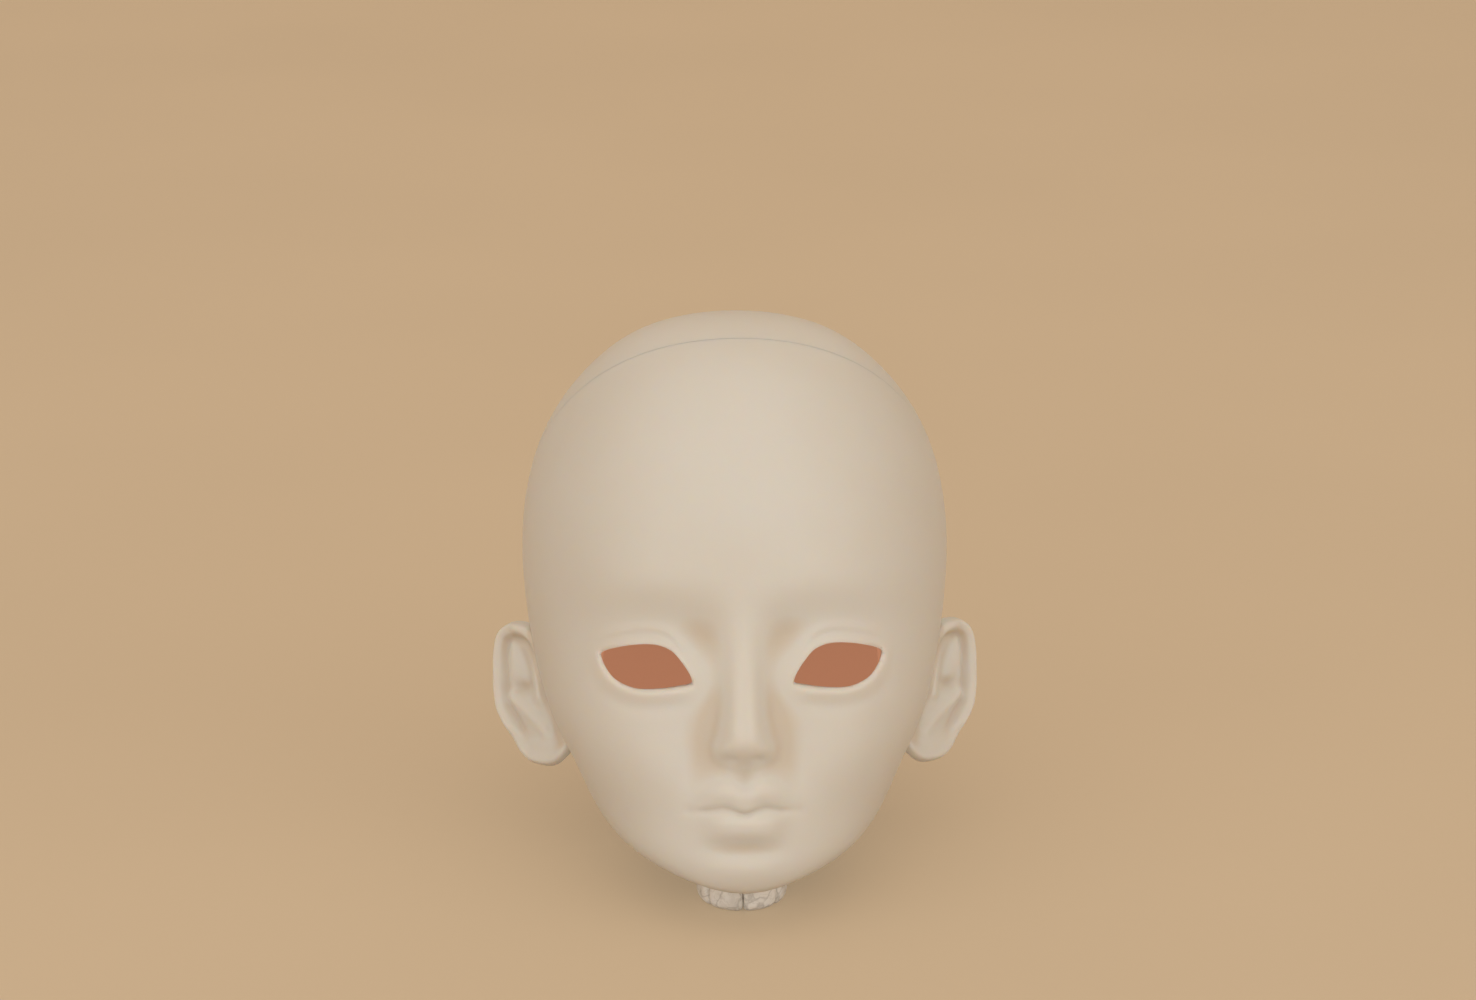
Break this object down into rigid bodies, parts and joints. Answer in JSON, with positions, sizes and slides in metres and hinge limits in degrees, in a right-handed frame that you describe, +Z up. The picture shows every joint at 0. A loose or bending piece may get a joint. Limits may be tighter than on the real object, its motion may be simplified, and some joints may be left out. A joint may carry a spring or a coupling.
{
  "type": "doll head",
  "caption": "Bare resin doll head with open eye wells, moulded ears and a magnetic head cap, leaning on its neck rim with the chin on a ring of stone beads.",
  "frame": {"origin": "middle of the neck rim, on the surface that the head stands on", "axes": "+Z up along the neck axis, +X to the right of someone who looks at the face, and the face looks along -Y and 17 degrees up"},
  "size_m": [0.0746, 0.0891, 0.0823],
  "materials": {
    "resin": "sanded cast resin, satin and slightly translucent",
    "magnet": "nickel-plated disc",
    "bead_stone": "white stone with grey veins, lightly polished",
    "elastic": "clear elastic cord"
  },
  "bodies": {
    "head": {"face_shell": "resin", "face_magnet_front": "magnet", "face_magnet_right": "magnet", "face_magnet_back": "magnet", "face_magnet_left": "magnet"},
    "cap": {"head_cap": "resin", "cap_magnet_front": "magnet", "cap_magnet_right": "magnet", "cap_magnet_back": "magnet", "cap_magnet_left": "magnet"},
    "chin_rest": {"bead_1": "bead_stone", "bead_2": "bead_stone", "bead_3": "bead_stone", "bead_4": "bead_stone", "bead_5": "bead_stone", "bead_6": "bead_stone", "bead_7": "bead_stone", "bead_cord": "elastic"}
  },
  "joints": [
    {"name": "cap_lift", "type": "slide", "parent": "head", "child": "cap", "axis": [0, 0.8387, 0.5446], "range_m": [0, 0.05]},
    {"name": "chin_rest_drop", "type": "slide", "parent": "head", "child": "chin_rest", "axis": [0, 0, -1], "range_m": [0, 0.03]}
  ]
}
